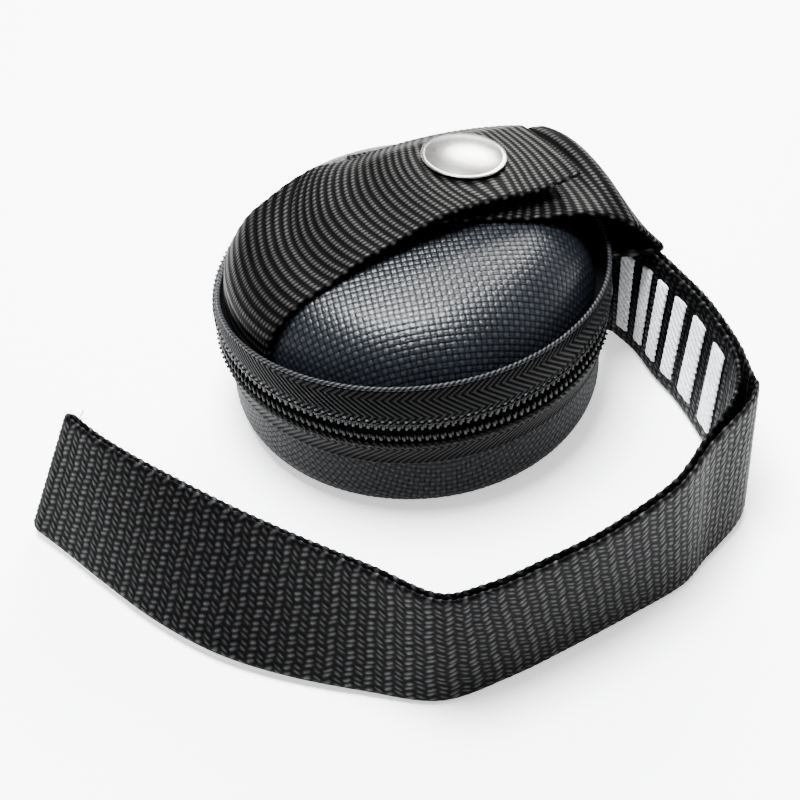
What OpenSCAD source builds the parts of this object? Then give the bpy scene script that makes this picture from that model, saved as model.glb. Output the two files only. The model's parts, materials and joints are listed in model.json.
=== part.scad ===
// Small round zipped carrying case for a clicker, with a two-strap snap loop over the
// lid and a doubled webbing wrist loop. Closed and snapped at rest, standing on its base.

/* [Case] */
// Outside radius of the closed zip teeth, the widest ring of the case
zip_r = 35; // [34.6:0.1:35.4]
// Height of the zip above the surface that the case stands on
zip_z = 20.6; // [20:0.1:21.2]
// Outside radius of the lower shell
lower_r = 33; // [32.8:0.1:33.1]
// Outside radius of the lid's upright wall
lid_r = 32; // [31.8:0.1:32.1]
// Height of the middle of the lid above the zip
crown_h = 18.2; // [18:0.1:18.4]
// Thickness of the nylon covers
cover_t = 0.6; // [0.5:0.05:0.7]
// Thickness of the moulded foam shells
shell_t = 1.8; // [1.6:0.1:2]
// Thickness of the velvet linings
lining_t = 0.45; // [0.4:0.05:0.6]

/* [Zip] */
// Height of the upper zip tape above the zip
upper_tape_h = 10.6; // [10:0.1:10.8]
// Depth of the lower zip tape below the zip
lower_tape_h = 8.4; // [8:0.1:9]
// Thickness of the zip tapes
tape_t = 0.7; // [0.6:0.05:0.8]
// Height of one row of zip teeth
coil_h = 2.0; // [1.8:0.1:2.1]

/* [Straps] */
// Width of all the webbing
web_w = 25; // [24.5:0.1:25.4]
// Thickness of the two snap straps
snap_web_t = 1.0; // [0.9:0.05:1.1]
// Thickness of each layer of the wrist loop
wrist_web_t = 1.2; // [1.1:0.05:1.3]
// Diameter of the snap's cap
cap_d = 15; // [14.5:0.1:15.5]
// Direction of the top strap's free end, in degrees round from +X
top_dir = 25; // [24:0.5:26]
// Direction of the under strap's fold, in degrees round from +X
under_dir = 7; // [6:0.5:8]

/* [Hidden] */
$fn = 96;

// Gap between layers that lie against each other
gap = 0.05;
// Radius round the foot of the lower shell
foot_round = 5;
// Radius of the lid's shoulder and of its crown
shoulder_round = 14;
crown_round = 90;
// Half the opening between the rims of the two shells
rim_gap = 0.6;
// Inside radius of the zip tapes and of the zip teeth
tape_r = zip_r - tape_t;
coil_r = zip_r - 1.3;
// Where the hinge is, and how far round it reaches to each side
hinge_az = 50;
hinge_half = 17;
// The upper tape's edge: its middle height over the zip, where it is highest, and its tilt
rim_middle_h = 7.8;
rim_high_az = 285;
rim_tilt = 4.5;
// Where the closed slider is parked, and where the row of teeth ends
park_az = 92;
row_start_az = 105;
row_end_az = 357;
// Half the space between the two rows of teeth, which the slider's wedge runs in
wedge_gap = 0.65;
// Radius of the line that the pull turns about
pull_r = zip_r + 2.4;
// Middle of the snap, seen from above
snap_x = 10;
snap_y = 9;
// How far each strap reaches past the middle of the snap
top_free = 16.5;
under_free = 18.5;
// Clear height between the lid and the under strap, and between the lid and the top strap
under_gap = 0.6;
top_gap = 0.4;
// Height of the closed snap, from the crown to the top strap, its shanks and the socket's bore
snap_stack = 4.1;
shank_r = 1.6;
socket_bore = 3.5;
// Length of the wrist loop along its foot
loop_length = 205;
// Rows and columns of facets in a snap strap
strap_rows = 26;
strap_columns = 6;

// Crown circle and shoulder circle of the lid
crown_cz = zip_z + crown_h - crown_round;
shoulder_r = lid_r - shoulder_round;
shoulder_z = crown_cz + sqrt(pow(crown_round - shoulder_round, 2) - pow(shoulder_r, 2));
crown_edge = asin(shoulder_r / (crown_round - shoulder_round));

function arc(cx, cz, r, a0, a1, n) =
    [for (i = [0 : n]) let (a = a0 + (a1 - a0) * i / n) [cx + r * cos(a), cz + r * sin(a)]];
function backwards(list) = [for (i = [len(list) - 1 : -1 : 0]) list[i]];
function mix(a, b, t) = a + (b - a) * t;

// Outlines of the two halves at a depth below the outer surface, from the middle to the rim
function lower_line(depth) = concat([[0, depth]],
    arc(lower_r - foot_round, foot_round, foot_round - depth, -90, 0, 8),
    [[lower_r - depth, zip_z - rim_gap]]);
function lid_line(depth) = concat(
    arc(0, crown_cz, crown_round - depth, 90, 90 - crown_edge, 6),
    arc(shoulder_r, shoulder_z, shoulder_round - depth, 90 - crown_edge - 8, 0, 8),
    [[lid_r - depth, zip_z + rim_gap]]);

module lower_layer(outer, thickness) {
    rotate_extrude() polygon(concat(lower_line(outer), backwards(lower_line(outer + thickness))));
}

module lid_layer(outer, thickness) {
    rotate_extrude() polygon(concat(lid_line(outer), backwards(lid_line(outer + thickness))));
}

module lower_cover() color("#1b2028") lower_layer(0, cover_t);
module lower_shell() color("#26282b") lower_layer(cover_t + gap, shell_t);
module lower_lining() color("#101113") lower_layer(cover_t + shell_t + 2 * gap, lining_t);
module lid_cover() color("#1b2028") lid_layer(0, cover_t);
module lid_shell() color("#26282b") lid_layer(cover_t + gap, shell_t);
module lid_lining() color("#101113") lid_layer(cover_t + shell_t + 2 * gap, lining_t);

// A ring sector between two azimuths, from an outline in radius and height
module sector(from, to) {
    rotate([0, 0, from]) rotate_extrude(angle = to - from) children();
}

// The zip tapes: an upright band with a foot that is sewn to the cover
module lid_zip_tape() color("#17181a") difference() {
    rotate_extrude() polygon([
        [lid_r + gap, zip_z + 2.3], [tape_r, zip_z + 2.3], [tape_r, zip_z + coil_h + gap],
        [zip_r - 0.1, zip_z + coil_h + gap], [zip_r, zip_z + 5], [zip_r - 0.1, zip_z + upper_tape_h],
        [tape_r - 0.2, zip_z + upper_tape_h], [tape_r - 0.1, zip_z + 5],
        [tape_r - 0.3, zip_z + 3.2], [lid_r + gap, zip_z + 3.2]]);
    // The tape's upper edge is highest at the front and lowest by the hinge
    translate([0, 0, zip_z + rim_middle_h]) rotate([0, 0, rim_high_az]) rotate([0, -rim_tilt, 0])
        translate([-50, -50, 0]) cube([100, 100, 20]);
}

module lower_zip_tape() color("#17181a") rotate_extrude() polygon([
    [lower_r + gap, zip_z - 2.3], [tape_r, zip_z - 2.3], [tape_r, zip_z - coil_h - gap],
    [zip_r - 0.1, zip_z - coil_h - gap], [zip_r - 0.2, zip_z - 5],
    [lower_r + tape_t + gap, zip_z - lower_tape_h], [lower_r + gap, zip_z - lower_tape_h]]);

// One row of zip teeth, as a ring with a rounded outside
module zip_row(side) {
    inner = zip_z + side * wedge_gap;
    outer = zip_z + side * coil_h;
    sector(row_start_az, row_end_az) polygon([[coil_r, inner], [zip_r - 0.1, inner],
        [zip_r + 0.1, mix(inner, outer, 0.3)], [zip_r + 0.1, mix(inner, outer, 0.7)],
        [zip_r - 0.1, outer], [coil_r, outer]]);
}
module lower_zip_coil() color("#0e0f10") zip_row(-1);
module lid_zip_coil() color("#0e0f10") zip_row(1);

// Seam threads that hold the tapes, as thin rings let into the tapes' feet
module thread_ring(r, z) {
    translate([0, 0, z - 0.15]) difference() {
        cylinder(r = r + 0.25, h = 0.3);
        translate([0, 0, -1]) cylinder(r = r, h = 2.3);
    }
}
module lower_stitching() color("#22242a") {
    thread_ring(zip_r - 0.08, zip_z - 3);
}
module lid_stitching() color("#22242a") {
    thread_ring(zip_r - 0.02, zip_z + 3);
}

// The two halves of the fabric hinge, outside the tapes
module gusset(from_z, to_z) {
    sector(hinge_az - hinge_half, hinge_az + hinge_half) polygon([[zip_r + 0.3, from_z],
        [zip_r + 0.9, from_z], [zip_r + 0.9, to_z], [zip_r + 0.3, to_z]]);
}
module lower_hinge_gusset() color("#17181a") gusset(zip_z - 8, zip_z - 0.15);
module lid_hinge_gusset() color("#17181a") gusset(zip_z + 0.15, zip_z + 6);

// The stop that ends the row of teeth, clipped round the lower row only
module zip_end_stop() color("#8d9093") sector(row_end_az + 0.3, row_end_az + 3) polygon([
    [coil_r, zip_z - coil_h], [zip_r + 0.4, zip_z - coil_h], [zip_r + 0.4, zip_z - 0.15],
    [coil_r, zip_z - 0.15]]);

// Slider: outer plate, thin inner plate and the wedge that runs between the rows of teeth
module slider_part(half_angle, inner_r, outer_r, half_h) {
    sector(park_az - half_angle, park_az + half_angle) polygon([[inner_r, zip_z - half_h],
        [outer_r, zip_z - half_h], [outer_r, zip_z + half_h], [inner_r, zip_z + half_h]]);
}
module slider_body() color("#2a2b2e") {
    slider_part(6.5, zip_r + 0.6, zip_r + 1.5, 2.9);
    slider_part(5.5, coil_r - 0.55, coil_r - 0.15, 1.8);
    slider_part(2, coil_r - 0.16, zip_r + 0.61, 0.45);
}

// Arch on the slider's face, and the pull that turns in it about an upright line
module at_slider(radius) {
    rotate([0, 0, park_az]) translate([radius, 0, zip_z]) children();
}
module slider_bridge() color("#2a2b2e") at_slider(zip_r + 1.45) difference() {
    translate([0.1, -2.6, -0.8]) cube([2.5, 5.2, 1.6]);
    translate([-0.5, -1.6, -1]) cube([2.4, 3.2, 2]);
}
module zip_pull() color("#2a2b2e") at_slider(pull_r) {
    difference() {
        union() {
            translate([-0.45, -8.9, -1.9]) cube([0.9, 9.35, 3.8]);
            translate([-0.45, -8.9, 0]) rotate([0, 90, 0]) cylinder(r = 1.9, h = 0.9);
        }
        translate([-1, -3.5, -1.1]) cube([2, 3.05, 2.2]);
    }
}

// Height of the lid's crown, and of the under strap's wedge down to its fold
function crown_at(x, y) = crown_cz + sqrt(pow(crown_round, 2) - x * x - y * y);
function ease(t) = let (u = max(0, min(1, t))) u * u * (3 - 2 * u);

// Plan of a strap: distance along a direction and offset to its left, as x and y
function plan(dir, along, across) =
    [along * cos(dir) - across * sin(dir), along * sin(dir) + across * cos(dir)];
function along_of(dir) = snap_x * cos(dir) + snap_y * sin(dir);
function across_of(dir) = snap_y * cos(dir) - snap_x * sin(dir);

// A closed strap from a grid of points on its lower face and the same grid raised
module strap_solid(low, high, nr, nc) {
    w = nc + 1;
    count = (nr + 1) * w;
    function at(i, j, top) = i * w + j + (top ? count : 0);
    faces = concat(
        [for (i = [0 : nr - 1]) for (j = [0 : nc - 1]) each [
            [at(i, j, true), at(i, j + 1, true), at(i + 1, j, true)],
            [at(i, j + 1, true), at(i + 1, j + 1, true), at(i + 1, j, true)],
            [at(i, j, false), at(i + 1, j, false), at(i, j + 1, false)],
            [at(i, j + 1, false), at(i + 1, j, false), at(i + 1, j + 1, false)]]],
        [for (i = [0 : nr - 1]) each [
            [at(i, 0, false), at(i, 0, true), at(i + 1, 0, true)],
            [at(i, 0, false), at(i + 1, 0, true), at(i + 1, 0, false)],
            [at(i, nc, false), at(i + 1, nc, true), at(i, nc, true)],
            [at(i, nc, false), at(i + 1, nc, false), at(i + 1, nc, true)]]],
        [for (j = [0 : nc - 1]) each [
            [at(0, j, false), at(0, j + 1, true), at(0, j, true)],
            [at(0, j, false), at(0, j + 1, false), at(0, j + 1, true)],
            [at(nr, j, false), at(nr, j, true), at(nr, j + 1, true)],
            [at(nr, j, false), at(nr, j + 1, true), at(nr, j + 1, false)]]]);
    polyhedron(points = concat(low, high), faces = faces, convexity = 6);
}

// Top strap: up out of the groove, over the shoulder, along the crown and over the snap
top_near = across_of(top_dir) - web_w / 2;
groove_r = 31.2;
groove_top = zip_z + 9.5;
groove_foot_r = lid_r + 0.1;
groove_dx = groove_r - shoulder_r;
groove_angle = atan2(groove_top - shoulder_z, groove_dx);
groove_reach = sqrt(pow(groove_dx, 2) + pow(groove_top - shoulder_z, 2));
shoulder_rows = 9;
// Height of the top strap's lower face over the crown: it climbs over the under strap
// and then over the closed snap, and its free end stands off, curling down at the back
function top_lift(along, across) =
    let (past = max(0, along - along_of(top_dir) - 5) / 11.5,
        droop = 1 - 0.75 * ease((across - top_near - web_w / 2 - 6.6) / 6))
    1.7 * ease((along + 21) / 11) + (snap_stack - top_gap - 1.7) * ease((along + 10) / 15) * droop
        + past * past * (3 - 0.12 * (across - top_near));
function top_point(i, j, up) =
    let (across = top_near + web_w * j / strap_columns, t = i / shoulder_rows)
    i <= shoulder_rows ?
        let (a = mix(groove_angle, 84, t),
            reach = mix(groove_reach, shoulder_round + top_gap, ease(t)) + up,
            r = shoulder_r + reach * cos(a),
            along = -sqrt(r * r - across * across))
        concat(plan(top_dir, along, across), shoulder_z + reach * sin(a) + top_lift(along, across))
    :
        let (r = shoulder_r + (shoulder_round + top_gap + up) * cos(84),
            from = -sqrt(r * r - across * across),
            u = (i - shoulder_rows) / (strap_rows - shoulder_rows),
            along = mix(from, along_of(top_dir) + top_free, u),
            xy = plan(top_dir, along, across))
        concat(xy, crown_at(xy[0], xy[1]) + top_gap + top_lift(along, across) + up);
module top_strap() color("#151517") difference() {
    strap_solid([for (i = [0 : strap_rows]) for (j = [0 : strap_columns]) top_point(i, j, 0)],
        [for (i = [0 : strap_rows]) for (j = [0 : strap_columns]) top_point(i, j, snap_web_t)],
        strap_rows, strap_columns);
    at_snap(0) cylinder(r = shank_r + 0.2, h = 20, center = true, $fn = 32);
}
module top_strap_root() color("#151517")
    sector(top_dir + 180 - asin((top_near + web_w) / groove_r), top_dir + 180 - asin(top_near / groove_r))
        polygon([[groove_foot_r, zip_z + 3.4], [groove_foot_r + snap_web_t, zip_z + 3.4],
            [groove_r + snap_web_t, groove_top - 0.9], [groove_r, groove_top - 0.9]]);

// Under strap: along the crown below the top strap, then down past the shoulder to a fold
// that lies outside the zip, and back in to the upper tape
under_near = across_of(under_dir) - web_w / 2;
fold_near = 43.4;
fold_far = 34;
leave_r = 21.5;
leave_z = crown_cz + sqrt(pow(crown_round, 2) - pow(leave_r, 2)) + under_gap;
fold_z = zip_z + 6.3;
under_bulge = 3;
flat_rows = 10;
function fold_at(across) = mix(fold_near, fold_far, (across - under_near) / web_w);
function under_point(i, j, up) =
    let (across = under_near + web_w * j / strap_columns,
        leave = sqrt(leave_r * leave_r - across * across),
        start = along_of(under_dir) - under_free,
        t = (i - flat_rows) / (strap_rows - flat_rows),
        along = i <= flat_rows ? mix(start, leave, i / flat_rows) : mix(leave, fold_at(across), t),
        xy = plan(under_dir, along, across),
        z = i <= flat_rows ? crown_at(xy[0], xy[1]) + under_gap
            : leave_z - (leave_z - fold_z) * pow(t, 2.8)
                + under_bulge * sin(140 * j / strap_columns) * ease(3 * t - 1.2) * ease(3 - 3 * t))
    concat(xy, z + up);
module under_strap() color("#151517") difference() {
    strap_solid([for (i = [0 : strap_rows]) for (j = [0 : strap_columns]) under_point(i, j, 0)],
        [for (i = [0 : strap_rows]) for (j = [0 : strap_columns]) under_point(i, j, snap_web_t)],
        strap_rows, strap_columns);
    at_snap(0) cylinder(r = shank_r + 0.2, h = 6, center = true, $fn = 32);
}
// The return of the under strap, sewn to the outside of the upper tape
module under_strap_root() color("#151517") translate([0, 0, fold_z - 0.4 - snap_web_t])
    linear_extrude(snap_web_t) polygon(concat(
        arc(0, 0, zip_r + gap, -1, 31, 10),
        [plan(under_dir, fold_far - 0.3, under_near + web_w - 3), plan(under_dir, fold_near - 0.3, under_near)]));
// Stitches that hold the two strap roots
module strap_root_stitches() color("#3a3a3c") {
    for (i = [0 : 5]) rotate([0, 0, 3 + 5 * i]) translate([zip_r + 1.6, -0.7, fold_z - 0.4])
        cube([0.35, 1.4, 0.25]);
}

// The snap, square to the crown below it: post, stud, socket, spring ring and cap
module at_snap(height) {
    translate([0, 0, crown_cz])
        rotate([0, asin(norm([snap_x, snap_y]) / crown_round), atan2(snap_y, snap_x)])
            translate([0, 0, crown_round + height]) children();
}
module snap_post() color("#b5b5b3") at_snap(0.1) {
    cylinder(r = 5, h = 0.3);
    cylinder(r = shank_r, h = 1.5);
}
module snap_stud() color("#b5b5b3") at_snap(1.65) rotate_extrude($fn = 64) polygon(concat(
    [[0, 0], [5.2, 0], [5.2, 0.2], [5, 0.3], [2.4, 0.3], [2.4, 0.6], [2.7, 0.9]],
    arc(2.3, 1.05, 0.4, 0, 90, 4), [[0, 1.45]]));
module snap_socket() color("#b5b5b3") at_snap(2.0) rotate_extrude($fn = 64) polygon([
    [socket_bore, 0], [5.7, 0], [6, 0.3], [6, 1.4], [5.7, 1.7], [0, 1.7], [0, 1.4], [3.6, 1.4],
    [3.6, 1.25], [4.3, 1.25], [4.3, 0.55], [socket_bore, 0.55]]);
module socket_spring() color("#8f9092") at_snap(2.9) rotate([0, 0, 20])
    rotate_extrude(angle = 320, $fn = 64) translate([3.9, 0]) circle(r = 0.3, $fn = 16);
module snap_cap() color("#c9c9c7") at_snap(snap_stack + snap_web_t + 0.06) {
    rotate_extrude($fn = 96) polygon(concat([[0, 0.1], [cap_d / 2 - 0.7, 0.1], [cap_d / 2 - 0.6, 0]],
        arc(cap_d / 2 - 0.35, 0.35, 0.35, -90, 60, 6),
        arc(0, -18.4, 19.8, 90 - 20, 90, 8)));
    translate([0, 0, -1.4]) cylinder(r = shank_r, h = 1.55);
}

// Wrist loop: two layers of webbing that stand on edge. Each point is the foot of the
// webbing (x, y) and how far its top leans (x, y).
loop_route = [[37.6, 9, 0.3, -1], [41, 3, 1.8, -0.5], [43.5, -4, 2.8, 0], [47, -12, 3, 0],
    [50.5, -24, 2.6, 1], [52, -33, 1.6, 2.6], [51.5, -38.5, 2, 6], [48.5, -43.5, 3, 7],
    [44.5, -48.5, 1, 4], [40, -53.5, -1, 0], [31, -59, -3, -3], [21, -64.5, -3, -3],
    [11, -69.5, -3, -2.5], [0, -73, 0.5, 0], [-12, -70.5, 3, 4], [-24, -67, 5.5, 7.5],
    [-35, -62, 7, 10], [-45, -54.5, 7.5, 9.5], [-54, -45.5, 8, 6.5], [-61, -38, 8.5, 4.5],
    [-66.5, -32.5, 9.5, 4]];
loop_rows = 120;
bar_pitch = 6.7;
bar_w = 4;
bar_long = 18;

function spline(list, t) =
    let (n = len(list) - 1, i = min(n - 1, floor(t * n)), f = t * n - i,
        a = list[max(0, i - 1)], b = list[i], c = list[i + 1], d = list[min(n, i + 2)])
    0.5 * (2 * b + (c - a) * f + (2 * a - 5 * b + 4 * c - d) * f * f
        + (3 * b - a - 3 * c + d) * f * f * f);
function unit(v) = v / norm(v);
// Foot of the loop at t, the way up its width, and its side facing the case.
// A leaning foot is lifted so that the lower corner of the webbing stays on the base level.
function loop_foot(t) = let (p = spline(loop_route, t))
    [p[0], p[1], (wrist_web_t + 1) * norm([p[2], p[3]]) / web_w + 0.05];
function loop_up(t) = let (p = spline(loop_route, t))
    [p[2], p[3], sqrt(web_w * web_w - p[2] * p[2] - p[3] * p[3])] / web_w;
function loop_side(t) =
    let (run = loop_foot(min(1, t + 0.002)) - loop_foot(max(0, t - 0.002)))
    unit(cross(unit(run), loop_up(t)));
// The layers lie together but stand apart round the bend
function loop_part(t) = 0.04 + 0.9 * ease((t - 0.2) / 0.1) * ease((0.42 - t) / 0.1);
function loop_at(t, height, side) = loop_foot(t) + height * loop_up(t) + side * loop_side(t);

// A length of the loop between two heights and two offsets from its middle
module loop_piece(t0, t1, nr, low, high, from, thick, layer) {
    function point(i, height, out) = let (t = mix(t0, t1, i / nr))
        loop_at(t, height, layer * (loop_part(t) + from + out));
    strap_solid([for (i = [0 : nr]) each [point(i, low, layer > 0 ? 0 : thick), point(i, high, layer > 0 ? 0 : thick)]],
        [for (i = [0 : nr]) each [point(i, low, layer > 0 ? thick : 0), point(i, high, layer > 0 ? thick : 0)]],
        nr, 1);
}
module wrist_loop_inner() color("#1c1c1d")
    loop_piece(0, 1, loop_rows, 0, web_w, 0, wrist_web_t, 1);
module wrist_loop_outer() color("#1c1c1d")
    loop_piece(0, 1, loop_rows, 0, web_w, 0, wrist_web_t, -1);
module ladder_bars() color("#e8e8e8") for (i = [0 : 5])
    loop_piece((3 + i * bar_pitch) / loop_length, (3 + bar_w + i * bar_pitch) / loop_length, 3,
        (web_w - bar_long) / 2, (web_w + bar_long) / 2, wrist_web_t + 0.1, 0.2, 1);
module wrist_loop_stitches() color("#3a3a3c") for (i = [0 : 4])
    loop_piece(0.006, 0.012, 1, 3 + i * 4.3, 5.4 + i * 4.3, wrist_web_t + 0.08, 0.2, -1);
// The tab on the case that the loop is sewn to
module wrist_loop_tab() color("#151517") sector(9, 15) polygon([[zip_r + gap, zip_z - 13],
    [zip_r + 1.1, zip_z - 13], [zip_r + 1.1, zip_z - 3.2], [zip_r + gap, zip_z - 3.2]]);

lower_cover();
lower_shell();
lower_lining();
lower_zip_tape();
lower_zip_coil();
lower_stitching();
lower_hinge_gusset();
zip_end_stop();
wrist_loop_tab();
lid_cover();
lid_shell();
lid_lining();
lid_zip_tape();
lid_zip_coil();
lid_stitching();
lid_hinge_gusset();
top_strap_root();
under_strap_root();
strap_root_stitches();
slider_body();
slider_bridge();
zip_pull();
top_strap();
snap_cap();
snap_socket();
socket_spring();
under_strap();
snap_post();
snap_stud();
wrist_loop_inner();
ladder_bars();
wrist_loop_outer();
wrist_loop_stitches();
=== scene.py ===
import json
import math
import bpy
import numpy as np
from mathutils import Matrix, Vector


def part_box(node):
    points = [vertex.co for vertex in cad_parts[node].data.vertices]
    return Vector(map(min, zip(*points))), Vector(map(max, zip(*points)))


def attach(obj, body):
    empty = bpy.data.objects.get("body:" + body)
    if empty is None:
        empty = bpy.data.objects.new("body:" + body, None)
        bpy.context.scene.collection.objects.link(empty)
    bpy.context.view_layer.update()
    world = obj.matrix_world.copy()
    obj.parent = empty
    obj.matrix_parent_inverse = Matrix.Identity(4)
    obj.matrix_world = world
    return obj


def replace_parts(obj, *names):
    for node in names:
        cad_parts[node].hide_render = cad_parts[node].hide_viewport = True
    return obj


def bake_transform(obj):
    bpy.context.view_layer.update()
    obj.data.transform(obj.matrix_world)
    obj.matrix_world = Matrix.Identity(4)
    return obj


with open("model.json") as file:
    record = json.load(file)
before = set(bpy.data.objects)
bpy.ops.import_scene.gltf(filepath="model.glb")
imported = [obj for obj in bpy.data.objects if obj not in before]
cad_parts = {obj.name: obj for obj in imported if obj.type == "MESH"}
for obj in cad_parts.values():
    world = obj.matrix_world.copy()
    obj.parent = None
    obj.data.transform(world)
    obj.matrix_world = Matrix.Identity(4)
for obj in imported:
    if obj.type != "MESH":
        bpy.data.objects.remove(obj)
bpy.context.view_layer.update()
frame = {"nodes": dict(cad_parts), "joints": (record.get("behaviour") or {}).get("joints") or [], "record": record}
joints = {joint["name"]: joint for joint in frame["joints"]}

# ---------------------------------------------------------------- sizes, in millimetres
MM = 0.001


def high(node):
    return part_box(node)[1] / MM


ZIP_Z = joints["zip_travel"]["pos_m"][2] / MM
ZIP_R = high("lower_zip_tape").x + 0.1
LOWER_R = high("lower_cover").x
LID_R = high("lid_cover").x
CROWN_TOP = high("lid_cover").z
COVER_T = 0.6
SNAP_WEB_T = 1.0
WRIST_WEB_T = 1.2
WEB_W = 25
FOOT_ROUND = 5
SHOULDER_ROUND = 14
CROWN_ROUND = 90
RIM_GAP = 0.6
ZIP_PITCH = 1.29
ZIP_START, ZIP_END = math.radians(105), math.radians(357)
TOOTH_LONG, TOOTH_THICK, TOOTH_Z = 1.4, 0.33, 1.26
STITCH_LONG, STITCH_THICK, STITCH_Z = 0.62, 0.19, 2.95
GUSSET_AZ, GUSSET_HALF = math.radians(50), math.radians(17)
SNAP_X, SNAP_Y = 10, 9
SNAP_STACK = 4.1
CAP_R = 7.5
TOP_DIR = math.radians(25)
UNDER_DIR = math.radians(7)
TOP_FREE, UNDER_FREE = 16.5, 18.5
TOP_GAP, UNDER_GAP = 0.4, 0.6
EDGE_STANDS = 2.0  # how far the top strap's far edge stands off the lid
GROOVE_R, GROOVE_TOP = 31.2, ZIP_Z + 9.5
FOLD_NEAR, FOLD_FAR, FOLD_Z = 43.4, 34, ZIP_Z + 6.3
LEAVE_R = 21.5  # where the under strap leaves the crown
RIM_MIDDLE_H, RIM_SWING_H, RIM_HIGH_AZ = 7.8, 2.8, math.radians(285)
RIM_SUNK, RIM_LEAN = 2.3, 0.9
ROW_STEP = 0.2

CROWN_CZ = CROWN_TOP - CROWN_ROUND
SHOULDER_R = LID_R - SHOULDER_ROUND
SHOULDER_Z = CROWN_CZ + math.sqrt((CROWN_ROUND - SHOULDER_ROUND) ** 2 - SHOULDER_R ** 2)
CROWN_EDGE = math.asin(SHOULDER_R / (CROWN_ROUND - SHOULDER_ROUND))


def ease(t):
    u = np.clip(t, 0, 1)
    return u * u * (3 - 2 * u)


def mix(a, b, t):
    return a + (b - a) * t


# ---------------------------------------------------------------- camera, light and floor
def make_camera():
    """Looks down at the case from the front, aimed below it so that the wrist loop fits."""
    elevation, distance, roll = math.radians(41), 336.4, math.radians(-4)
    aim_down, aim_left = math.radians(3.19), math.radians(0.36)
    camera = bpy.data.objects.new("camera", bpy.data.cameras.new("camera"))
    bpy.context.scene.collection.objects.link(camera)
    camera.data.lens = 85.5
    place = Vector((0, -distance * math.cos(elevation),
                    ZIP_Z + distance * math.sin(elevation)))
    turn = (Matrix.Rotation(math.pi / 2 - elevation, 4, "X") @ Matrix.Rotation(roll, 4, "Z")
            @ Matrix.Rotation(-aim_down, 4, "X") @ Matrix.Rotation(aim_left, 4, "Y"))
    camera.matrix_world = Matrix.Translation(place * MM) @ turn
    camera.data.clip_start = 0.01
    bpy.context.scene.camera = camera


def make_light(name, place, size, power, colour):
    light = bpy.data.lights.new(name, "AREA")
    light.shape = "DISK"
    light.size = size
    light.energy = power
    light.color = colour
    holder = bpy.data.objects.new(name, light)
    holder.location = place
    towards = Vector((0, 0, 0.01)) - Vector(place)
    holder.rotation_euler = towards.to_track_quat("-Z", "Y").to_euler()
    bpy.context.scene.collection.objects.link(holder)


def make_studio():
    """White room that is dimmer towards the camera, one wide lamp overhead and one behind."""
    world = bpy.data.worlds.new("studio")
    bpy.context.scene.world = world
    world.use_nodes = True
    nodes, links = world.node_tree.nodes, world.node_tree.links
    where = nodes.new("ShaderNodeTexCoord")
    split = nodes.new("ShaderNodeSeparateXYZ")
    links.new(where.outputs["Generated"], split.inputs[0])
    dim = nodes.new("ShaderNodeMapRange")
    dim.inputs["From Min"].default_value = -0.85
    dim.inputs["From Max"].default_value = 0.1
    dim.inputs["To Min"].default_value = 0.12
    dim.inputs["To Max"].default_value = 1.0
    links.new(split.outputs["Y"], dim.inputs["Value"])
    links.new(dim.outputs[0], nodes["Background"].inputs["Strength"])
    nodes["Background"].inputs["Color"].default_value = (1, 1, 1, 1)
    make_light("overhead", (-0.05, 0.02, 0.55), 0.26, 24, (0.96, 0.98, 1))
    make_light("behind", (0.15, 0.5, 0.35), 0.3, 12, (1, 0.99, 0.97))
    bpy.ops.mesh.primitive_plane_add(size=4, location=(0, 0, 0))
    floor = bpy.context.object
    floor.name = "floor"
    paint = bpy.data.materials.new("pale_floor")
    paint.use_nodes = True
    shader = paint.node_tree.nodes["Principled BSDF"]
    shader.inputs["Base Color"].default_value = (0.93, 0.93, 0.925, 1)
    shader.inputs["Roughness"].default_value = 0.75
    shader.inputs["Specular IOR Level"].default_value = 0.15
    shader.inputs["Emission Color"].default_value = (1, 1, 1, 1)
    shader.inputs["Emission Strength"].default_value = 0.9
    floor.data.materials.append(paint)


# ---------------------------------------------------------------- materials
def shader_of(name):
    material = bpy.data.materials.new(name)
    material.use_nodes = True
    tree = material.node_tree
    return material, tree.nodes, tree.links, tree.nodes["Principled BSDF"]


def noise(nodes, links, scale, detail=4, stretch=(1, 1, 1)):
    """A noise texture in the object's own space, stretched along its axes."""
    where = nodes.new("ShaderNodeTexCoord")
    mapping = nodes.new("ShaderNodeMapping")
    mapping.inputs["Scale"].default_value = stretch
    links.new(where.outputs["Object"], mapping.inputs["Vector"])
    texture = nodes.new("ShaderNodeTexNoise")
    texture.inputs["Scale"].default_value = scale
    texture.inputs["Detail"].default_value = detail
    links.new(mapping.outputs[0], texture.inputs["Vector"])
    return texture


def ramp(nodes, links, source, start, end, colours):
    blend = nodes.new("ShaderNodeValToRGB")
    blend.color_ramp.elements[0].position = start
    blend.color_ramp.elements[1].position = end
    blend.color_ramp.elements[0].color = (*colours[0], 1)
    blend.color_ramp.elements[1].color = (*colours[1], 1)
    links.new(source, blend.inputs["Fac"])
    return blend


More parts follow.
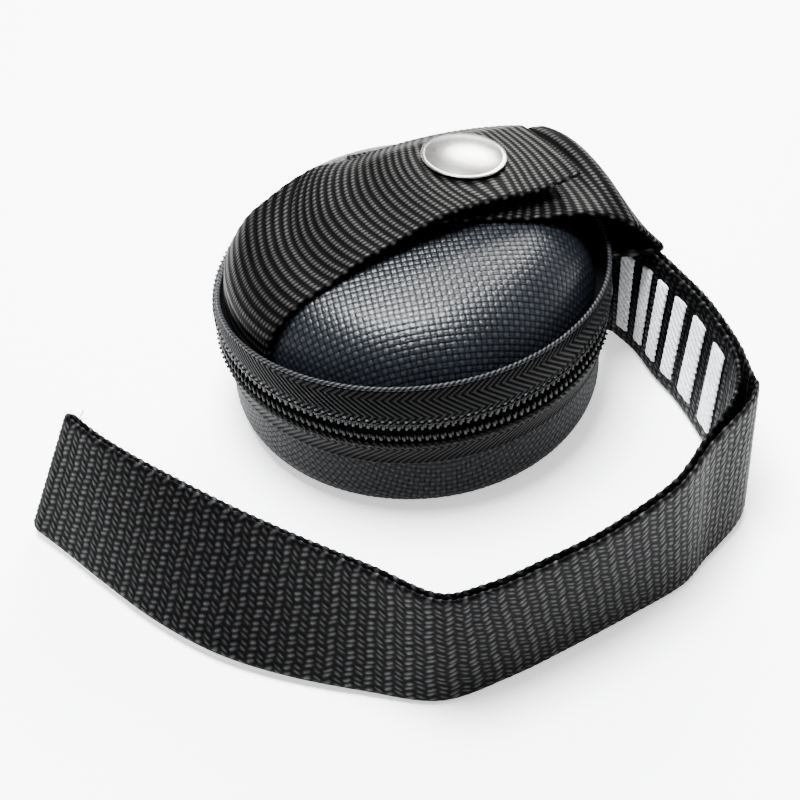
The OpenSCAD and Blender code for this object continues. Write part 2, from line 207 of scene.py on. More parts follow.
def fabric(name, valley, crest, roughness, fibre, gloss, sheen=0.0, start=0.05, end=0.95):
    """Yarn: painted shade in the valleys of the weave and paler crests, partly the yarn's own colour and partly a
    painted highlight, with fine fibres.
    """
    material, nodes, links, shader = shader_of(name)
    relief = nodes.new("ShaderNodeAttribute")
    relief.attribute_name = "relief"
    # valley colour is painted shade in the weave's hollows, crest colour partly a painted highlight
    colour = ramp(nodes, links, relief.outputs["Fac"], start, end, (valley, crest))
    fine = noise(nodes, links, fibre, 5)
    wide = noise(nodes, links, 140, 3)
    vary = ramp(nodes, links, fine.outputs["Fac"], 0.3, 0.75, ((0.55,) * 3, (1.35,) * 3))
    patch = ramp(nodes, links, wide.outputs["Fac"], 0.3, 0.7, ((0.85,) * 3, (1.12,) * 3))
    product = nodes.new("ShaderNodeVectorMath")
    product.operation = "MULTIPLY"
    links.new(colour.outputs[0], product.inputs[0])
    links.new(vary.outputs[0], product.inputs[1])
    whole = nodes.new("ShaderNodeVectorMath")
    whole.operation = "MULTIPLY"
    links.new(product.outputs[0], whole.inputs[0])
    links.new(patch.outputs[0], whole.inputs[1])
    links.new(whole.outputs[0], shader.inputs["Base Color"])
    rough = nodes.new("ShaderNodeMapRange")
    rough.inputs["To Min"].default_value = roughness - 0.1
    rough.inputs["To Max"].default_value = min(1, roughness + 0.12)
    links.new(fine.outputs["Fac"], rough.inputs["Value"])
    links.new(rough.outputs[0], shader.inputs["Roughness"])
    bump = nodes.new("ShaderNodeBump")
    bump.inputs["Strength"].default_value = 0.5
    bump.inputs["Distance"].default_value = 0.00012
    links.new(fine.outputs["Fac"], bump.inputs["Height"])
    links.new(bump.outputs[0], shader.inputs["Normal"])
    shine = nodes.new("ShaderNodeMapRange")
    shine.inputs["From Min"].default_value = start
    shine.inputs["To Min"].default_value = gloss * 0.06
    shine.inputs["To Max"].default_value = gloss
    links.new(relief.outputs["Fac"], shine.inputs["Value"])
    links.new(shine.outputs[0], shader.inputs["Specular IOR Level"])
    shader.inputs["Sheen Weight"].default_value = sheen
    shader.inputs["Sheen Roughness"].default_value = 0.5
    return material


def solid(name, dark, pale, roughness, metallic=0.0, grain=900, stretch=(1, 1, 1), depth=0.00003):
    """Metal, foam or plastic: a slightly uneven colour, roughness and surface."""
    material, nodes, links, shader = shader_of(name)
    fine = noise(nodes, links, grain, 5, stretch)
    wide = noise(nodes, links, 120, 3)
    colour = ramp(nodes, links, wide.outputs["Fac"], 0.3, 0.7, (dark, pale))
    links.new(colour.outputs[0], shader.inputs["Base Color"])
    rough = nodes.new("ShaderNodeMapRange")
    rough.inputs["To Min"].default_value = roughness * 0.8
    rough.inputs["To Max"].default_value = min(1, roughness * 1.3)
    links.new(fine.outputs["Fac"], rough.inputs["Value"])
    links.new(rough.outputs[0], shader.inputs["Roughness"])
    bump = nodes.new("ShaderNodeBump")
    bump.inputs["Strength"].default_value = 0.35
    bump.inputs["Distance"].default_value = depth
    links.new(fine.outputs["Fac"], bump.inputs["Height"])
    links.new(bump.outputs[0], shader.inputs["Normal"])
    shader.inputs["Metallic"].default_value = metallic
    shader.inputs["Specular IOR Level"].default_value = 0.5 if metallic else 0.15
    return material


def make_materials():
    """Fabrics go from painted shade in the valleys of the weave to paler crests, solids from dark to pale."""
    recipes = (
        # crests paler and bluer than the near-black valleys: partly a painted highlight, the valleys painted shade
        (fabric, "ballistic_nylon", (0.0008, 0.0009, 0.0012), (0.0085, 0.0102, 0.0135), 0.33,
         {"fibre": 3200, "gloss": 0.45}),
        # a darker, duller copy of ballistic_nylon for the lower half: painted shade
        (fabric, "lower_nylon", (0.0006, 0.0008, 0.001), (0.003, 0.0042, 0.0055), 0.5,
         {"fibre": 3200, "gloss": 0.1}),
        (solid, "foam", (0.006, 0.006, 0.007), (0.01, 0.01, 0.011), 0.85,
         {"grain": 1400, "depth": 0.00015}),
        (solid, "velvet", (0.002, 0.002, 0.0026), (0.0042, 0.0042, 0.005), 0.95,
         {"grain": 3000, "depth": 0.0002}),
        (fabric, "zip_tape", (0.0006, 0.0006, 0.0007), (0.0065, 0.0066, 0.0072), 0.5,
         {"fibre": 3000, "gloss": 0.1}),
        (solid, "zip_teeth", (0.001, 0.001, 0.0012), (0.002, 0.002, 0.0024), 0.4,
         {"grain": 1500}),
        (fabric, "thread", (0.002, 0.002, 0.0025), (0.012, 0.0125, 0.0135), 0.6,
         {"fibre": 4000, "gloss": 0.2}),
        # a paler copy of thread for the upper row of stitches: painted highlight
        (fabric, "stitch_dots", (0.02, 0.02, 0.022), (0.08, 0.082, 0.085), 0.55,
         {"fibre": 4000, "gloss": 0.3}),
        (fabric, "grosgrain", (0.0008, 0.0008, 0.0008), (0.018, 0.0166, 0.0155), 0.5,
         {"fibre": 2800, "gloss": 0.18, "start": 0.12, "end": 1}),
        (fabric, "wrist_webbing", (0.0008, 0.0008, 0.0009), (0.014, 0.0142, 0.015), 0.45,
         {"fibre": 2200, "gloss": 0.24, "start": 0.08, "end": 1}),
        (fabric, "white_yarn", (0.42, 0.42, 0.45), (0.86, 0.86, 0.88), 0.8,
         {"fibre": 2400, "gloss": 0.3, "sheen": 0.2}),
        (solid, "snap_metal", (0.2, 0.196, 0.19), (0.26, 0.254, 0.246), 0.25,
         {"metallic": 1, "grain": 1800, "stretch": (1, 6, 1)}),
        (solid, "slider_metal", (0.018, 0.018, 0.02), (0.028, 0.028, 0.03), 0.35,
         {"metallic": 0.6, "grain": 900}),
        (fabric, "rim_cord", (0.001, 0.001, 0.0012), (0.016, 0.017, 0.019), 0.5,
         {"fibre": 3600, "gloss": 0.2}),
    )
    return {name: maker(name, dark, pale, roughness, **rest)
            for maker, name, dark, pale, roughness, rest in recipes}


# ---------------------------------------------------------------- mesh helpers
def make_mesh(name, points, faces, relief, slot, tone=None):
    """A smooth mesh from points in millimetres, with how pale each point is, which follows how high it stands in
    the weave and paints shade into its valleys.
    """
    data = bpy.data.meshes.new(name)
    data.from_pydata((np.asarray(points, float) * MM).tolist(), [], faces)
    data.update()
    data.shade_smooth()
    height = data.attributes.new("relief", "FLOAT", "POINT")
    height.data.foreach_set("value", np.asarray(relief, np.float32).ravel())
    data.materials.append(materials[tone or slot])
    piece = bpy.data.objects.new(name, data)
    bpy.context.scene.collection.objects.link(piece)
    return piece


def unit(v):
    return v / np.maximum(np.linalg.norm(v, axis=-1, keepdims=True), 1e-9)


def quads(rows, columns, first=0, flip=False, closed=False):
    """Faces of a grid of points; a closed one joins its last row to its first."""
    last = rows if closed else rows - 1
    i, j = np.meshgrid(np.arange(last), np.arange(columns - 1), indexing="ij")
    a = i * columns + j
    b = (i + 1) % rows * columns + j
    faces = np.stack([a, a + 1, b + 1, b], -1).reshape(-1, 4) + first
    return (faces[:, ::-1] if flip else faces).tolist()


def resample(path, step):
    """The same grid of points with its rows evenly spaced, and each row's distance along."""
    middle = path[:, path.shape[1] // 2]
    run = np.concatenate([[0], np.cumsum(np.linalg.norm(np.diff(middle, axis=0), axis=1))])
    count = int(run[-1] / step) + 1
    at = np.linspace(0, run[-1], count)
    out = np.empty((count,) + path.shape[1:])
    for column in range(path.shape[1]):
        for axis in range(3):
            out[:, column, axis] = np.interp(at, run, path[:, column, axis])
    return out, at


def sheet(name, path, thick, over, tone, slot, under=None, closed=False, side_round=0.8):
    """A sheet of woven material about a grid of points: over and under are how far the weave
    stands out of its two faces, and tone is how pale each point is, low for painted shade in the valleys."""
    rows, columns = path.shape[:2]
    if closed:
        run = np.roll(path, -1, 0) - np.roll(path, 1, 0)
    else:
        run = np.gradient(path, axis=0)
    across = unit(np.gradient(path, axis=1))
    normal = unit(np.cross(run, across))
    edge = np.linalg.norm(path - path[:, :1], axis=-1)
    edge = np.minimum(edge, np.linalg.norm(path - path[:, -1:], axis=-1))
    full = np.sqrt(np.clip(1 - (1 - np.clip(edge / side_round, 0, 1)) ** 2, 0.12, 1))[..., None]
    under = over if under is None else under
    top = path + normal * (thick / 2 + over[..., None]) * full
    bottom = path - normal * (thick / 2 + under[..., None]) * full
    count = rows * columns
    faces = quads(rows, columns, 0, True, closed) + quads(rows, columns, count, False, closed)
    for i in range(rows if closed else rows - 1):
        a, b = i * columns, (i + 1) % rows * columns
        faces.append([a, a + count, b + count, b])
        a, b = a + columns - 1, b + columns - 1
        faces.append([a, b, b + count, a + count])
    if not closed:
        last = (rows - 1) * columns
        for j in range(columns - 1):
            faces.append([j, j + 1, j + 1 + count, j + count])
            faces.append([last + j, last + j + count, last + j + 1 + count, last + j + 1])
    return make_mesh(name, np.concatenate([top.reshape(-1, 3), bottom.reshape(-1, 3)]), faces,
                     np.concatenate([tone.ravel(), tone.ravel()]), slot)


def lathe(name, profile, columns, slot, weave=None, woven_rows=0, place=None, tone=None, turn_out=1):
    """A closed body turned about +Z: the profile starts and ends on the axis. The weave stands
    to the left of the profile's direction, or to the right with turn_out -1."""
    r, z = profile[1:-1, 0], profile[1:-1, 1]
    slope = unit(np.gradient(profile, axis=0))[1:-1]
    run = np.cumsum(np.linalg.norm(np.diff(profile, axis=0), axis=1))[:-1]
    angle = np.linspace(0, 2 * math.pi, columns, endpoint=False)
    stand, shade = np.zeros((len(r), columns)), np.full((len(r), columns), 0.5)
    if weave:
        u, v = run[:, None] * np.cos(angle), run[:, None] * np.sin(angle)
        height, pale = weave(u, v)
        inside = (np.arange(len(r)) < woven_rows)[:, None]
        stand, shade = np.where(inside, height, 0), np.where(inside, pale, 0.3)
    radius = r[:, None] + stand * -slope[:, 1:2] * turn_out
    level = z[:, None] + stand * slope[:, 0:1] * turn_out
    body = np.stack([radius * np.cos(angle), radius * np.sin(angle), level], -1)
    points = np.concatenate([[[0, 0, profile[0, 1]]], body.reshape(-1, 3), [[0, 0, profile[-1, 1]]]])
    faces = []
    rows, end = len(r), 1 + len(r) * columns
    for k in range(columns):
        n = (k + 1) % columns
        faces.append([0, 1 + k, 1 + n])
        faces.append([end, 1 + (rows - 1) * columns + n, 1 + (rows - 1) * columns + k])
    i, k = np.meshgrid(np.arange(rows - 1), np.arange(columns), indexing="ij")
    n = (k + 1) % columns
    a, b = 1 + i * columns, 1 + (i + 1) * columns
    ring = np.stack([a + k, b + k, b + n, a + n], -1)
    faces += ring.reshape(-1, 4).tolist()
    relief = np.concatenate([[0.5], shade.ravel(), [0.5]])
    if place is not None:
        points = points @ np.array(place.to_3x3()).T + np.array(place.translation)
    return make_mesh(name, points, faces, relief, slot, tone)


def capsule(long, radius, around=8, steps=3):
    """A rod with round ends along X, about the origin."""
    bend = np.linspace(0, math.pi / 2, steps + 1)
    reach = long / 2 - radius
    x = np.concatenate([-reach - radius * np.cos(bend[1:]), reach + radius * np.sin(bend[:-1])])
    r = np.concatenate([radius * np.sin(bend[1:]), radius * np.cos(bend[:-1])])
    angle = np.linspace(0, 2 * math.pi, around, endpoint=False)
    ring = np.stack([x[:, None] * np.ones(around), r[:, None] * np.cos(angle),
                     r[:, None] * np.sin(angle)], -1)
    points = np.concatenate([[[-long / 2, 0, 0]], ring.reshape(-1, 3), [[long / 2, 0, 0]]])
    faces, rows = [], len(x)
    for k in range(around):
        n = (k + 1) % around
        faces.append([0, 1 + n, 1 + k])
        faces.append([1 + rows * around, 1 + (rows - 1) * around + k, 1 + (rows - 1) * around + n])
        for i in range(rows - 1):
            a, b = 1 + i * around, 1 + (i + 1) * around
            faces.append([a + k, a + n, b + n, b + k])
    return points, faces


def scatter(name, rod, places, slot, tone=None):
    """Copies of one rod as a single mesh. Each place is (origin, its X axis, its Y axis)."""
    points, faces = rod
    all_points, all_faces, relief = [], [], []
    for n, (origin, x, y) in enumerate(places):
        x, y = np.asarray(x, float), np.asarray(y, float)
        turn = np.stack([x, y, np.cross(x, y)])
        all_points.append(points @ turn + np.asarray(origin, float))
        all_faces += [[index + n * len(points) for index in face] for face in faces]
        relief.append(np.full(len(points), 0.75 + 0.25 * math.sin(n * 2.4)))
    return make_mesh(name, np.concatenate(all_points), all_faces, np.concatenate(relief), slot, tone)


# ---------------------------------------------------------------- weaves, in millimetres
# Each weave returns heights and a tone: a low tone is painted shade in the weave's valleys, a high one paler
# crests that are partly a painted highlight.
def basket_weave(u, v, pitch=1.05, depth=0.15):
    """Pairs of yarns over and under each other. The cloth lies a little askew on the case."""
    askew = math.radians(8)
    a = (u * math.cos(askew) + v * math.sin(askew)) / pitch
    b = (v * math.cos(askew) - u * math.sin(askew)) / pitch
    a, b = a + 0.1 * np.sin(b * 0.13), b + 0.1 * np.sin(a * 0.11)
    fa, fb = 2 * (a - np.floor(a)) - 1, 2 * (b - np.floor(b)) - 1
    even = (np.floor(a) + np.floor(b)) % 2 == 0
    pair_a, pair_b = np.abs(np.sin(math.pi * fa)), np.abs(np.sin(math.pi * fb))
    warp = (1 - fa ** 4) * (1 - 0.6 * fb ** 2) * (0.72 + 0.28 * pair_a)
    weft = (1 - fb ** 4) * (1 - 0.6 * fa ** 2) * (0.72 + 0.28 * pair_b) * 0.74
    height = np.where(even, warp, weft)
    return depth * height, np.clip(height, 0, 1) ** 1.4


def grosgrain(s, v, pitch=1.6, depth=0.24):
    """Ribs across the strap, each a row of dots, their pale tone a painted highlight."""
    rib = np.abs(np.sin(math.pi * s / pitch))
    shifted = v / 0.72 + 0.5 * (np.floor(s / pitch) % 2)
    dot = 0.5 + 0.5 * np.cos(2 * math.pi * shifted)
    height = rib ** 0.9 * (0.72 + 0.28 * dot)
    return depth * height, rib ** 3 * (0.2 + 0.8 * dot ** 2)


def chunky(s, v, column=1.6, row=1.16, depth=0.34):
    """Columns of short slanted yarns in pairs, no two quite alike."""
    s = s + 0.12 * np.sin(v * 1.9) + 0.1 * np.sin(v * 0.7 + s * 0.21)
    v = v + 0.1 * np.sin(s * 1.3) + 0.12 * np.sin(s * 0.37)
    count = np.floor(s / column)
    f = s / column - count
    pair = count % 2
    lean = np.where(pair == 0, 0.75, -0.75) * (f - 0.5)
    beat = v / row + 0.5 * pair + lean
    yarn = 0.5 + 0.5 * np.cos(2 * math.pi * beat)
    swell = np.sin(math.pi * f) ** 0.6 * (0.8 + 0.2 * np.sin(np.floor(beat) * 2.7 + count * 1.9))
    height = swell * (0.3 + 0.7 * yarn ** 0.8) * np.where(pair == 0, 1, 0.82)
    return depth * height, np.clip(height, 0, 1) ** 2.2


def herringbone(s, v, zone=3.9, pitch=1.3, depth=0.13):
    """Diagonal ribs of short yarns that change direction from zone to zone across the tape."""
    fold = np.abs((v / zone) % 2 - 1) * zone
    rib = 0.5 + 0.5 * np.cos(2 * math.pi * (s + fold * 1.1) / pitch)
    yarn = 0.5 + 0.5 * np.cos(2 * math.pi * (s - fold * 0.8) / 0.62)
    height = rib * (0.7 + 0.3 * yarn)
    return depth * height, rib ** 1.6 * (0.35 + 0.65 * yarn)


# ---------------------------------------------------------------- case
def arc(cx, cz, r, start, end, n):
    a = np.linspace(start, end, n)
    return np.stack([cx + r * np.cos(a), cz + r * np.sin(a)], -1)


def lid_line(depth, fine):
    """Outline of the lid from its crown to its edge, depth inside its face."""
    side_h = SHOULDER_Z - ZIP_Z - RIM_GAP
    edge = math.pi / 2 - CROWN_EDGE
    crown = arc(0, CROWN_CZ, CROWN_ROUND - depth, math.pi / 2, edge, int(19 * fine))
    bend = arc(SHOULDER_R, SHOULDER_Z, SHOULDER_ROUND - depth, edge, 0, int(19 * fine))[1:]
    wall = np.stack([np.full(int(3 * fine), LID_R - depth),
                     np.linspace(SHOULDER_Z, SHOULDER_Z - side_h, int(3 * fine) + 1)[1:]], -1)
    return np.concatenate([crown, bend, wall])


def lower_line(depth, fine):
    """Outline of the lower half from the middle of its base to its edge."""
    base = np.stack([np.linspace(0, LOWER_R - FOOT_ROUND, int(14 * fine)),
                     np.full(int(14 * fine), depth)], -1)
    bend = arc(LOWER_R - FOOT_ROUND, FOOT_ROUND, FOOT_ROUND - depth, -math.pi / 2, 0,
               int(5 * fine))[1:]
    wall = np.stack([np.full(int(9 * fine), LOWER_R - depth),
                     np.linspace(FOOT_ROUND, ZIP_Z - RIM_GAP, int(9 * fine) + 1)[1:]], -1)
    return np.concatenate([base, bend, wall])


def cover_on(line):
    outside, inside = line(0, 7), line(COVER_T, 1)[::-1]
    return np.concatenate([outside, inside]), len(outside) - 2


def make_case():
    profile, woven = cover_on(lid_line)
    lid = lathe("lid_nylon", profile, 760, "ballistic_nylon", basket_weave, woven)
    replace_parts(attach(lid, "lid"), "lid_cover")
    profile, woven = cover_on(lower_line)
    # the lower half wears the darker copy of the nylon: painted shade
    lower = lathe("lower_nylon", profile, 760, "ballistic_nylon", basket_weave, woven,
                  tone="lower_nylon", turn_out=-1)
    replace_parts(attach(lower, "lower_case"), "lower_cover")


# ---------------------------------------------------------------- zip
def around(count):
    return np.linspace(0, 2 * math.pi, count, endpoint=False)


def spoke(angle):
    """The ways out from and along the zip at one angle."""
    return (np.array([math.cos(angle), math.sin(angle), 0]),
            np.array([-math.sin(angle), math.cos(angle), 0]))


def sunk(angle):
    """How far the upper tape is pressed in behind the top strap, from 0 to 1."""
    return np.exp(-((angle - math.radians(170)) / math.radians(34)) ** 2)


def rim_height(angle):
    return RIM_MIDDLE_H + RIM_SWING_H * np.cos(angle - RIM_HIGH_AZ) - RIM_SUNK * sunk(angle)


def rope(name, angle, radius, height, thick, twist, slot, tone=None):
    """A twisted cord round the case."""
    round_it = np.linspace(0, 2 * math.pi, 12, endpoint=False)
    a, b = np.meshgrid(angle, round_it, indexing="ij")
    strand = 0.5 + 0.5 * np.cos(2 * b - a * ZIP_R * 2 * math.pi / twist)
    r = thick * (0.72 + 0.28 * strand)
    out = radius[:, None] + r * np.cos(b)
    points = np.stack([out * np.cos(a), out * np.sin(a), height[:, None] + r * np.sin(b)], -1)
    n, m = points.shape[:2]
    i, j = np.meshgrid(np.arange(n), np.arange(m), indexing="ij")
    next_i, next_j = (i + 1) % n, (j + 1) % m
    a, b = i * m, next_i * m
    faces = np.stack([a + j, b + j, b + next_j, a + next_j], -1).reshape(-1, 4).tolist()
    # the strand's tone paints shade into the grooves of the twist
    return make_mesh(name, points.reshape(-1, 3), faces, strand.ravel(), slot, tone)


def make_tapes():
    angle = around(1100)
    run = angle * ZIP_R
    # upper tape: a band that stands up round the lid
    share = np.linspace(0, 1, 44)
    a, t = np.meshgrid(angle, share, indexing="ij")
    top = rim_height(a) - 0.5
    radius = ZIP_R - 0.42 + 0.1 * np.sin(math.pi * t) - RIM_LEAN * sunk(a) * t
    level = ZIP_Z + mix(2.25, top, t)
    band = np.stack([radius * np.cos(a), radius * np.sin(a), level], -1)
    height, tone = herringbone(run[:, None], level - ZIP_Z)
    upper = sheet("upper_tape_band", band, 0.55, height, tone, "zip_tape", closed=True, side_round=0.4)
    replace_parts(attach(upper, "lid"), "lid_zip_tape")
    cord = rope("upper_tape_rim", angle, ZIP_R - 0.4 - RIM_LEAN * sunk(angle),
                ZIP_Z + rim_height(angle) - 0.42, 0.4, 1.0, "zip_tape", "rim_cord")
    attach(cord, "lid")
    # lower tape: from the coil down and in to the lower shell
    share = np.linspace(0, 1, 40)
    a, t = np.meshgrid(angle, share, indexing="ij")
    radius = mix(ZIP_R - 0.5, LOWER_R + 0.45, ease(t * 1.15) ** 1.2)
    level = ZIP_Z - mix(2.1, 8.3, t)
    band = np.stack([radius * np.cos(a), radius * np.sin(a), level], -1)
    height, tone = herringbone(run[:, None], level - ZIP_Z)
    # the lower tape's tone is scaled by 0.7: painted shade on the tape below the coil
    lower = sheet("lower_tape_band", band[:, ::-1], 0.55, height[:, ::-1], tone[:, ::-1] * 0.7,
                  "zip_tape", closed=True, side_round=0.4)
    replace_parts(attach(lower, "lower_case"), "lower_zip_tape")
    # the feet that reach in from the tapes to the covers
    for name, body, z, cover in (("upper_tape_foot", "lid", ZIP_Z + 2.75, LID_R),
                                 ("lower_tape_foot", "lower_case", ZIP_Z - 2.7, LOWER_R)):
        a, r = np.meshgrid(around(240), np.linspace(cover - 0.1, ZIP_R - 0.7, 6), indexing="ij")
        foot = np.stack([r * np.cos(a), r * np.sin(a), np.full(a.shape, z)], -1)
        flat = np.zeros(a.shape)
        # tone 0.1 paints the feet nearly as dark as the weave's valleys: painted shade in the groove between tape
        # and cover
        ring = sheet(name, foot, 0.6, flat, flat + 0.1, "zip_tape", closed=True, side_round=0.2)
        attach(ring, body)


def make_coils():
    """Two rows of teeth, two rods to each, and the chain of stitches along each tape's lip."""
    pitch = ZIP_PITCH / ZIP_R
    count = int((ZIP_END - ZIP_START) / pitch)
    for name, side, body, cad, offset in (("upper_teeth", 1, "lid", "lid_zip_coil", 0),
                                          ("lower_teeth", -1, "lower_case", "lower_zip_coil", 0.5)):
        places = []
        for n in range(count):
            out, along = spoke(ZIP_START + (n + 0.3 + offset) * pitch)
            up = unit(np.array([0, 0, 1.0]) + along * 0.16 * side)
            turned = unit(np.cross(up, out))
            centre = np.array([0, 0, ZIP_Z + side * TOOTH_Z])
            front = out * (ZIP_R - 0.52) + centre
            back = out * (ZIP_R - 0.95) + along * 0.5 + centre + np.array([0, 0, 0.04 * side])
            places += [(front, up, turned), (back, up, turned)]
        teeth = scatter(name, capsule(TOOTH_LONG, TOOTH_THICK), places, "zip_teeth")
        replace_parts(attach(teeth, body), cad)
    for name, side, body, cad, tone in (
            # the upper row takes the paler copy of thread: painted highlight
            ("upper_stitches", 1, "lid", "lid_stitching", "stitch_dots"),
            ("lower_stitches", -1, "lower_case", "lower_stitching", "thread")):
        places = []
        for n in range(int(2 * math.pi / pitch)):
            out, along = spoke(n * pitch)
            along = unit(along + np.array([0, 0, 0.25 * side]))
            at = out * (ZIP_R - 0.02) + np.array([0, 0, ZIP_Z + side * STITCH_Z])
            places.append((at, along, unit(np.cross(along, out))))
        row = scatter(name, capsule(STITCH_LONG, STITCH_THICK, 7, 2), places, "thread", tone)
        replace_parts(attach(row, body), cad)
    angle = around(1100)
    lip = rope("upper_tape_lip", angle, np.full(len(angle), ZIP_R - 0.1),
               np.full(len(angle), ZIP_Z + 2.3), 0.26, 0.9, "zip_tape", "rim_cord")
    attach(lip, "lid")


def make_gusset():
    """The fabric hinge: one strip across the two halves."""
    a, z = np.meshgrid(np.linspace(GUSSET_AZ - GUSSET_HALF, GUSSET_AZ + GUSSET_HALF, 100),
                       np.linspace(-8, 6, 60), indexing="ij")
    radius = ZIP_R + 0.55
    strip = np.stack([radius * np.cos(a), radius * np.sin(a), ZIP_Z + z], -1)
    height, tone = herringbone(a * radius, z)
    piece = sheet("hinge_gusset", strip, 0.4, height * 0.6, tone, "zip_tape", side_round=0.3)
    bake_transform(piece)
    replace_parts(piece, "lower_hinge_gusset", "lid_hinge_gusset")


# ---------------------------------------------------------------- snap straps
def plan(direction, along, across):
    """X and Y of a place along and across a strap that lies in a direction."""
    c, s = math.cos(direction), math.sin(direction)
    return along * c - across * s, along * s + across * c


def snap_along(direction):
    return SNAP_X * math.cos(direction) + SNAP_Y * math.sin(direction)


def snap_across(direction):
    return SNAP_Y * math.cos(direction) - SNAP_X * math.sin(direction)


def crown_at(x, y):
    return CROWN_CZ + np.sqrt(CROWN_ROUND ** 2 - x * x - y * y)


def strap_row(direction, along, across, level, on_crown=False):
    """A row of points across a strap, at a level that is above the crown if on_crown."""
    x, y = plan(direction, along, across)
    z = crown_at(x, y) + level if on_crown else np.broadcast_to(level, x.shape)
    return np.stack([x, y, z], -1)


def top_lift(along, across, near):
    """How far the top strap rises off the lid to lie on the snap, and curls at its free end."""
    past = np.maximum(0, along - snap_along(TOP_DIR) - 5) / 11.5
    droop = 1 - 0.75 * ease((across - near - WEB_W / 2 - 6.6) / 6)
    first, second = 1.7, SNAP_STACK - TOP_GAP - 1.7
    return (first * ease((along + 21) / 11) + second * ease((along + 10) / 15) * droop
            + past * past * (3 - 0.12 * (across - near)))


def ribbed(path, run, direction):
    """Rib heights of a snap strap. The ribs bend round the snap and are pressed flat below it."""
    width = np.linspace(0, WEB_W, path.shape[1])
    distance = np.hypot(path[..., 0] - SNAP_X, path[..., 1] - SNAP_Y)
    ahead = ((path[..., 0] - SNAP_X) * math.cos(direction)
             + (path[..., 1] - SNAP_Y) * math.sin(direction))
    pucker = (1.5 * np.exp(-((distance - CAP_R) / 5) ** 2)
              * np.sign(ahead) * np.clip(np.abs(ahead) / 4, 0, 1))
    wave = 0.25 * np.sin(width / 5.5 + run[:, None] / 7)
    height, tone = grosgrain(run[:, None] + wave - pucker, width[None, :])
    above = path[..., 2] > ZIP_Z + 12
    press = np.where(above, ease((distance - 6.8) / 1.5), 1)
    return height * press, tone


def scallop(path, height, most=0.24):
    """Draws the strap's edges out at each rib."""
    side = unit(np.gradient(path, axis=1))
    share = height / max(height.max(), 1e-9)
    path = path.copy()
    for column, sign in ((0, -1), (1, -0.5), (-2, 0.5), (-1, 1)):
        path[:, column] += side[:, column] * (most * (sign * (share[:, 4:5] - 0.5)))
    return path


def make_top_strap():
    """Rises between the lid and the upper tape, bends over the shoulder and lies on the snap."""
    near = snap_across(TOP_DIR) - WEB_W / 2
    across = np.linspace(near, near + WEB_W, 150)
    half = SNAP_WEB_T / 2
    groove_dx, groove_dz = GROOVE_R - SHOULDER_R, GROOVE_TOP - SHOULDER_Z
    groove_angle, groove_reach = math.atan2(groove_dz, groove_dx), math.hypot(groove_dx, groove_dz)
    top_angle = math.radians(84)
    edge = EDGE_STANDS * ease((across - near) / WEB_W * 2 - 1)

    def ring(r):
        return -np.sqrt(r * r - across ** 2)
    rows = []
    for t in np.linspace(0, 1, 12)[:-1]:
        along = ring(mix(LID_R + 0.1, GROOVE_R, t) + half)
        rows.append(strap_row(TOP_DIR, along, across, mix(ZIP_Z + 3.4, GROOVE_TOP, t)))
    for t in np.linspace(0, 1, 40):
        a = mix(groove_angle, top_angle, t)
        reach = mix(groove_reach, SHOULDER_ROUND + TOP_GAP, ease(t)) + half
        along = ring(SHOULDER_R + reach * math.cos(a))
        lift = top_lift(along, across, near) + edge * ease(t * 2)
        rows.append(strap_row(TOP_DIR, along, across, SHOULDER_Z + reach * math.sin(a) + lift))
    start = ring(SHOULDER_R + (SHOULDER_ROUND + TOP_GAP + half) * math.cos(top_angle))
    for t in np.linspace(0, 1, 90)[1:]:
        along = mix(start, snap_along(TOP_DIR) + TOP_FREE, t)
        lift = top_lift(along, across, near) + edge * ease((-along - 1) / 9)
        rows.append(strap_row(TOP_DIR, along, across, TOP_GAP + half + lift, True))
    path, run = resample(np.array(rows), ROW_STEP)
    height, tone = ribbed(path, run, TOP_DIR)
    path = scallop(path, height)
    strap = sheet("top_strap_webbing", path[:, ::-1], SNAP_WEB_T - 0.3, height[:, ::-1],
                  tone[:, ::-1], "grosgrain", under=height[:, ::-1] * 0.5)
    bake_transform(strap)
    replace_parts(strap, "top_strap", "top_strap_root")


def make_under_strap():
    """Lies on the crown below the snap, arches down to its fold and turns back to the zip."""
    near = snap_across(UNDER_DIR) - WEB_W / 2
    across = np.linspace(near, near + WEB_W, 150)
    half = SNAP_WEB_T / 2
    fold = mix(FOLD_NEAR, FOLD_FAR, (across - near) / WEB_W)
    leave = np.sqrt(LEAVE_R ** 2 - across ** 2)
    leave_z = CROWN_CZ + math.sqrt(CROWN_ROUND ** 2 - LEAVE_R ** 2) + UNDER_GAP
    bulge = 6 * np.sin(math.radians(125) * (across - near) / WEB_W)
    rows = []
    for t in np.linspace(0, 1, 60)[:-1]:
        along = mix(snap_along(UNDER_DIR) - UNDER_FREE, leave, t)
        rows.append(strap_row(UNDER_DIR, along, across, UNDER_GAP + half, True))
    for t in np.linspace(0, 1, 60):
        z = leave_z - (leave_z - FOLD_Z) * t ** 3.2 + bulge * ease(2.5 * t - 1.1) * ease(4 - 4 * t)
        rows.append(strap_row(UNDER_DIR, mix(leave, fold, t), across, z + half))
    turn_r = 0.7
    for turn in np.linspace(0, math.pi, 14)[1:]:
        rows.append(strap_row(UNDER_DIR, fold + turn_r * math.sin(turn) * 0.9, across,
                              FOLD_Z + half - turn_r + turn_r * math.cos(turn)))
    inner = np.sqrt((ZIP_R + 0.35) ** 2 - across ** 2)
    for t in np.linspace(0, 1, 20)[1:]:
        rows.append(strap_row(UNDER_DIR, mix(fold, inner, t), across, FOLD_Z + half - 2 * turn_r))
    path, run = resample(np.array(rows), ROW_STEP)
    height, tone = ribbed(path, run, UNDER_DIR)
    pressed = np.hypot(path[..., 0] - SNAP_X, path[..., 1] - SNAP_Y) < 7
    height = np.where(pressed, 0, height)
    path = scallop(path, height)
    strap = sheet("under_strap_webbing", path[:, ::-1], SNAP_WEB_T - 0.3, height[:, ::-1] * 0.8,
                  tone[:, ::-1], "grosgrain", under=height[:, ::-1] * 0.4)
    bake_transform(strap)
    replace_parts(strap, "under_strap", "under_strap_root")


